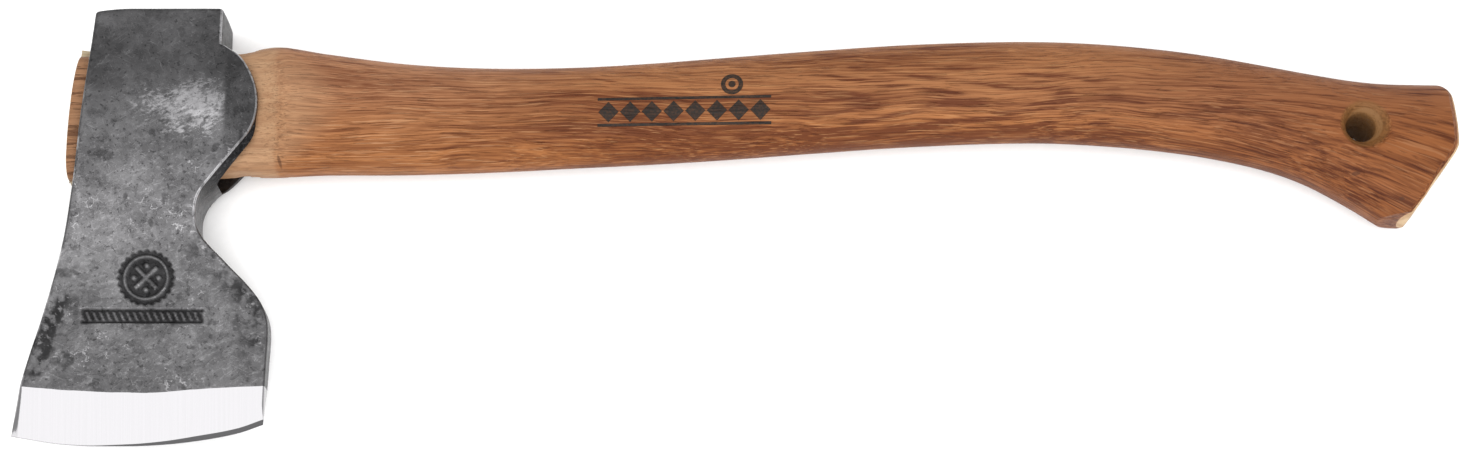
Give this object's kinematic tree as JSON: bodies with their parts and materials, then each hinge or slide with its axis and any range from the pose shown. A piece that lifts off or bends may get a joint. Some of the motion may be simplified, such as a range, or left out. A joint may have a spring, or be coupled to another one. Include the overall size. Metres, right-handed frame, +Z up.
{
  "type": "hatchet",
  "caption": "Carpenter's hatchet with a forged bearded head, wedged eye and a curved wooden handle with a hanging hole in its knob.",
  "frame": {"origin": "bottom centre of the whole hatchet's box, with the hatchet lying on its side on z = 0", "axes": "+X along the handle towards the knob, +Y towards the poll with the cutting edge at -Y, +Z up through the thickness, square to the blade"},
  "size_m": [0.516, 0.159, 0.0312],
  "materials": {
    "head_steel": "dark forge scale on the cheeks, bright ground bevel",
    "handle_wood": "oiled hickory, bare and pale where it enters the eye",
    "wedge_wood": "raw sawn wood",
    "ring_steel": "plain drawn steel"
  },
  "bodies": {
    "root": {"axe_head": "head_steel", "handle": "handle_wood", "wooden_wedge": "wedge_wood", "ring_wedge": "ring_steel"}
  },
  "joints": []
}
